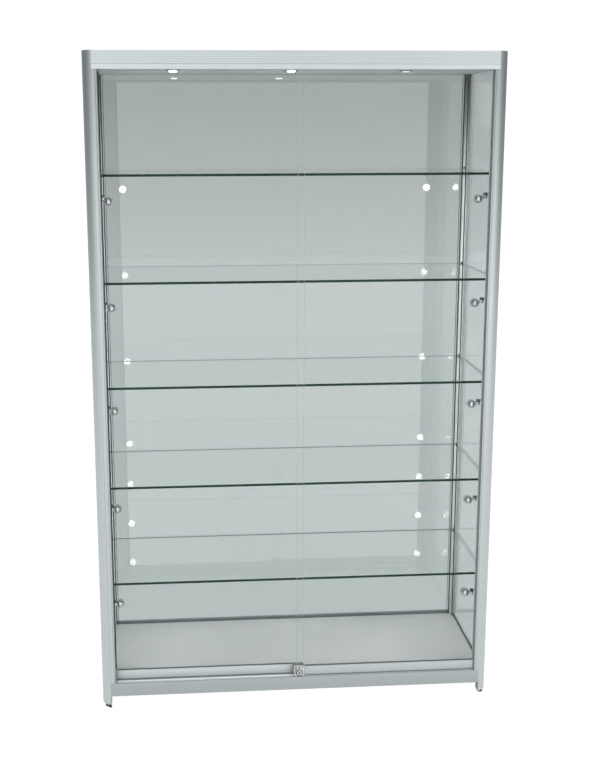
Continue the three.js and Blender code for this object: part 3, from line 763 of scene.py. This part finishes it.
# ------------------------------------------------------------------ push lock
BARREL_RADIUS, BOLT_RADIUS, BOLT_TIP = 8.5, 5, 18.5
BARREL_PROFILE = [
    (3.8, 8.8),
    (3.8, 0.5),
    (4.2, 0),
    (6.6, 0),
    (7, 0.35),
    (7.6, 0.35),
    (8.1, 0.1),
    (BARREL_RADIUS, 0.6),
    (BARREL_RADIUS, 2.4),
    (BOLT_RADIUS, 2.4),
    (BOLT_RADIUS, BOLT_TIP - 0.7),
    (4.2, BOLT_TIP),
    (0, BOLT_TIP),
    (0, 9.3),
    (3.8, 9.3),
    (3.8, 8.8),
]


def lock():
    front = 0.6 - HALF_DEPTH
    body = softened("lock_case", "lock_body", lock_chrome, 0.5)
    mount(body, "door_right", "lock_chrome", "lock_body")
    axis = place(LOCK_X, -HALF_DEPTH, LOCK_Z)
    barrel = turned("lock_cylinder", axis, BACK, BARREL_PROFILE, 48)
    coat(barrel, lock_chrome)
    mount(barrel, "lock_barrel", "lock_chrome", "lock_barrel")
    plug = turned("lock_key_plug", axis, BACK, [(0, 0.3), (3.1, 0.3), (3.5, 0.7), (3.5, 9), (0, 9)], 32)
    coat(plug, steel)
    slot = slab("keyway", axis + place(-1.1, 0.05, -2.7), axis + place(1.1, 0.34, 2.7), 0.1)
    coat(slot, black_rubber)
    mount(joined("lock_key_plug", [plug, slot]), "key_plug", "lock_chrome", "key_plug")
    # dark ring round the cylinder, chevron ribs, a pointer and a fixing screw on the plate
    ring = turned(
        "lock_ring",
        place(LOCK_X, front, LOCK_Z),
        -BACK,
        [(8.9, -0.4), (10.4, -0.4), (10.4, 0.3), (10.1, 0.5), (9.2, 0.5), (8.9, 0.3), (8.9, -0.4)],
        40,
    )
    coat(ring, black_rubber)
    mount(ring, "door_right", "lock_chrome")
    marks = [
        ("lock_pointer", [(LOCK_X - 5.5, 107.5), (LOCK_X + 2, 107.5), (LOCK_X - 2, 115)]),
        ("lock_edge_top", [(-10.4, 120.6), (-10.4, 122.2), (21.5, 122.2), (21.5, 120.6)]),
        ("lock_edge_side", [(-10.6, 84), (-9.2, 84), (-9.2, 120), (-10.6, 120)]),
    ]
    for name, corners in marks:
        mark = extruded(name, [place(x, front - 0.3, z) for x, z in corners], BACK * 0.5 * MM, 0.1)
        coat(mark, black_rubber)
        mount(mark, "door_right", "lock_chrome")
    for number, x in enumerate((-7.8, -3.6), 1):
        rib = begin(f"lock_rib_{number}", place(x, front - 0.25, 115))
        draw([place(x, front - 0.25, 115), place(x + 4.2, front - 0.25, 102), place(x, front - 0.25, 89)])
        bpy.ops.mesh.select_all(action="SELECT")
        pull(place(2.0, 0, 0))
        bpy.ops.mesh.select_all(action="SELECT")
        pull(place(0, 0.3, 0))
        close_up(rib)
        coat(rib, black_rubber)
        mount(rib, "door_right", "lock_chrome")
    screw_profile = [(0, -0.5), (2, -0.5), (2, 0.1), (1.6, 0.4), (0, 0.4)]
    screw = turned("lock_screw", place(LOCK_X + 8, front, 113), -BACK, screw_profile, 20)
    coat(screw, black_rubber)
    mount(screw, "door_right", "lock_chrome")


lock()


# ------------------------------------------------------------------ spotlights
HEAD_RADIUS = 12.5
SHELL_PROFILE = [
    (0, -12),
    (2.6, -11.8),
    (5.2, -11),
    (7.8, -9.4),
    (9.8, -7.2),
    (11.2, -4.6),
    (12.1, -1.6),
    (HEAD_RADIUS, 1.6),
    (HEAD_RADIUS, 6.2),
    (11.9, 6.6),
    (11.9, 7.6),
    (HEAD_RADIUS, 8),
    (HEAD_RADIUS, 12.6),
    (12.1, 13.6),
    (11.8, 13.8),
    (11.5, 13.4),
    (11.3, 11.8),
    (0, 11.8),
]
LENS_PROFILE = [(0, 11.9), (11.1, 11.9), (11.1, 13), (9.6, 15), (6, 16.6), (0, 17.2)]
EYE_PROFILE = [(2.8, -7.4), (5.6, -7.4), (6, -7), (6, -0.7), (5.6, -0.3), (2.8, -0.3), (2.8, -7.4)]
KNUCKLE_PROFILE = [(0, 0), (6.1, 0), (6.5, 0.4), (6.5, 5.6), (5.4, 7), (0, 7)]
PIN_PROFILE = [(0, 0.5), (2.5, 0.5), (2.5, -7.9), (4, -8.1), (4, -9.2), (3.4, -9.6), (0, -9.6)]
KNOB_PROFILE = [(0, 0), (6.2, 0), (7, 0.8), (7, 6.4), (6.2, 7.2), (0, 7.2)]


def spot_lamp(side_name, side, number, shelf_height):
    pin = inside(side, KNUCKLE_INSET, KNUCKLE_DEPTH, shelf_height - KNUCKLE_DROP)
    centre = pin + place(-side * HEAD_OFFSET[0], HEAD_OFFSET[1], HEAD_OFFSET[2])
    # each lamp is set by hand, so no two aim quite the same way
    drift = 0.035 * math.sin(3.7 * number + side)
    aim = Vector((-side * (HEAD_AIM[0] + drift), HEAD_AIM[1], HEAD_AIM[2] + drift / 2)).normalized()
    name = f"spot_{side_name}_{number}"
    shell = turned(f"{name}_shell", centre, aim, SHELL_PROFILE, 40)
    coat(shell, chrome)
    lens = turned(f"{name}_lens", centre, aim, LENS_PROFILE, 32)
    coat(lens, spot_light)
    stalk = rod(f"{name}_stalk", pin + place(0, 0, -4), centre, 2.6)
    coat(stalk, chrome)
    eye = turned(f"{name}_eye", pin, UP, EYE_PROFILE, 32)
    coat(eye, chrome)
    head = joined(f"{name}_head", [shell, lens, stalk, eye])
    mount(head, f"spot_{side_name}_{number}", "light_chrome", f"spot_head_{side_name}_{number}")
    # the fixed half of the joint: knuckle, knob, pin, clamp and arm
    knuckle = turned(f"{name}_knuckle", pin, UP, KNUCKLE_PROFILE, 32)
    stem = turned(f"{name}_pin", pin, UP, PIN_PROFILE, 24)
    arm = rod(f"{name}_arm", inside(side, 22, 41, 0) + UP * (pin.z + 3.5 * MM), pin + UP * 3.5 * MM, 2.8)
    clamp = slab(
        f"{name}_clamp",
        inside(side, 28.2 if side > 0 else 18, 33.5, 0) + UP * (pin.z - 3.5 * MM),
        inside(side, 18 if side > 0 else 28.2, 45, 0) + UP * (pin.z + 10.5 * MM),
        1.5,
        3,
    )
    for part in (knuckle, stem, clamp):
        coat(part, dark_chrome)
    coat(arm, chrome)
    knob = turned(f"{name}_knob", pin + place(side * 9, 0, 3.5), Vector((side, 0, 0)), KNOB_PROFILE, 24, 0.3)
    coat(knob, dark_chrome)
    return [knuckle, stem, arm, clamp, knob]


for side_name, side in SIDES.items():
    fixed = [
        slab(
            f"light_strip_{side_name}",
            place(min(side * 588.6, side * 576.6), 28.4 - HALF_DEPTH, 72.4),
            place(max(side * 588.6, side * 576.6), 44 - HALF_DEPTH, 1915.6),
            0.8,
        )
    ]
    coat(fixed[0], upright_metal)
    for number, shelf_height in enumerate(SHELF_HEIGHTS, 1):
        fixed += spot_lamp(side_name, side, number, shelf_height)
    strip = joined(f"light_strip_{side_name}", fixed)
    mount(strip, "case", "light_chrome", f"light_rail_{side_name}")

RIM_PROFILE = [
    (0, 3),
    (13.8, 3),
    (14.2, -0.8),
    (15.4, -1.6),
    (20.4, -1.5),
    (22, -0.8),
    (22, -0.3),
    (18, -0.3),
    (18, 15),
    (17, 16),
    (0, 16),
]
DOME_PROFILE = [(0, -5.6), (5, -5.3), (9.4, -4.2), (12.4, -2.1), (13.4, 1), (13.4, 2.8), (0, 2.8)]
for number, x in enumerate(DOWNLIGHTS, 1):
    seat = place(x, DOWNLIGHT_DEPTH - HALF_DEPTH, CEILING_BOTTOM)
    rim = turned(f"downlight_{number}_rim", seat, UP, RIM_PROFILE, 48)
    coat(rim, dark_chrome)
    lens = turned(f"downlight_{number}_lens", seat, UP, DOME_PROFILE, 40)
    coat(lens, dim_light if number == 3 else down_light)
    mount(joined(f"recessed_light_{number}", [rim, lens]), "case", "light_chrome", f"downlight_{number}")

# ------------------------------------------------------------------ shelf clips
CLIP_OUTER, CLIP_REACH = 591.5, 5
CLIP_PLACES = {"back": 424, "front": 58}


def clip_part(name, side, inner, behind, bottom, top, bevel):
    """A block of a clip, from inner to the clip's outer face, between two heights."""
    low, high = sorted((side * inner, side * CLIP_OUTER))
    return slab(
        name,
        place(low, behind - CLIP_REACH - HALF_DEPTH, bottom),
        place(high, behind + CLIP_REACH - HALF_DEPTH, top),
        bevel,
    )


def shelf_clip(place_name, behind, side_name, side, number, height):
    """Two jaws above and below a shelf's edge, joined by a back plate."""
    tail = f"{place_name}_{side_name}_{number}"
    base = clip_part(f"clip_{tail}", side, 579, behind, height - 9, height - 3.9, 0.8)
    top = clip_part(f"clip_top_{tail}", side, 582, behind, height + 3.9, height + 8.5, 0.8)
    back = clip_part(f"clip_back_{tail}", side, 588.3, behind, height - 8, height + 8, 0.5)
    clip = joined(f"shelf_clip_{tail}", [base, top, back])
    coat(clip, lock_chrome)
    mount(clip, "case", "light_chrome")


for number, shelf_height in enumerate(SHELF_HEIGHTS, 1):
    for side_name, side in SIDES.items():
        for place_name, behind in CLIP_PLACES.items():
            shelf_clip(place_name, behind, side_name, side, number, shelf_height)

# ------------------------------------------------------------------ wiring above the ceiling
driver = softened("light_driver", "led_driver", white_nylon, 2.0)
mount(driver, "case", "white_plastic", "led_driver")
gland = softened("cord_gland", "cable_gland", black_rubber, 0.4)
mount(gland, "case", "black_plastic", "cable_gland")

# ------------------------------------------------------------------ floor, light and camera
put_down()
bpy.ops.mesh.primitive_plane_add(size=24, location=(0, 0, 0))
floor = bpy.context.object
floor.name = "studio_floor"
floor_finish, floor_tree, floor_shader = new_finish("studio_floor_paint")
floor_noise = noise(floor_tree, (1, 1, 1), 2.0, 3)
floor_tree.links.new(
    two_tone(floor_tree, floor_noise, (0.14, 0.14, 0.14), (0.16, 0.16, 0.16)), floor_shader.inputs["Base Color"]
)
floor_shader.inputs["Roughness"].default_value = 0.9
floor_shader.inputs["Emission Color"].default_value = (1, 1, 1, 1)
floor_shader.inputs["Emission Strength"].default_value = 0.93
floor.data.materials.append(floor_finish)

world = bpy.data.worlds.new("studio")
bpy.context.scene.world = world
world.use_nodes = True
sky = world.node_tree
direction = sky.nodes.new("ShaderNodeTexCoord")
parts = sky.nodes.new("ShaderNodeSeparateXYZ")
sky.links.new(direction.outputs["Generated"], parts.inputs["Vector"])
sideways = sky.nodes.new("ShaderNodeMath")
sideways.operation = "ABSOLUTE"
sky.links.new(parts.outputs["X"], sideways.inputs[0])
sky.links.new(
    two_tone(sky, spread(sky, sideways.outputs[0], 0, 1, 0.38, 0.85), (1.06, 1.06, 1.06), (0.34, 0.35, 0.35)),
    sky.nodes["Background"].inputs["Color"],
)


def soft_light(name, where, toward, width, height, power):
    data = bpy.data.lights.new(name, "AREA")
    data.shape = "RECTANGLE"
    data.size = width
    data.size_y = height
    data.energy = power
    lamp = bpy.data.objects.new(name, data)
    bpy.context.scene.collection.objects.link(lamp)
    lamp.location = where
    lamp.rotation_euler = (Vector(toward) - Vector(where)).to_track_quat("-Z", "Y").to_euler()
    return lamp


soft_light("key_light", (-2.8, -5.4, 3.6), (0, 0, 0.9), 4.0, 4.0, 75)
soft_light("fill_light", (3.6, -4.2, 2.2), (0, 0, 1.0), 3.2, 3.2, 50)

YAW, PITCH, ROLL = 0.0719, -0.1934, -0.0029
camera_data = bpy.data.cameras.new("camera")
camera_data.lens = 51.93
camera_data.sensor_width = 36
camera_data.shift_x = 0.0449
camera_data.shift_y = -0.0453
camera = bpy.data.objects.new("camera", camera_data)
bpy.context.scene.collection.objects.link(camera)
camera.matrix_world = (
    Matrix.Translation((-0.3186, -3.3514, 1.7401))
    @ Matrix.Rotation(-YAW, 4, "Z")
    @ Matrix.Rotation(math.pi / 2 + PITCH, 4, "X")
    @ Matrix.Rotation(ROLL, 4, "Z")
)
bpy.context.scene.camera = camera
bpy.context.scene.view_settings.view_transform = "Standard"

put_down()
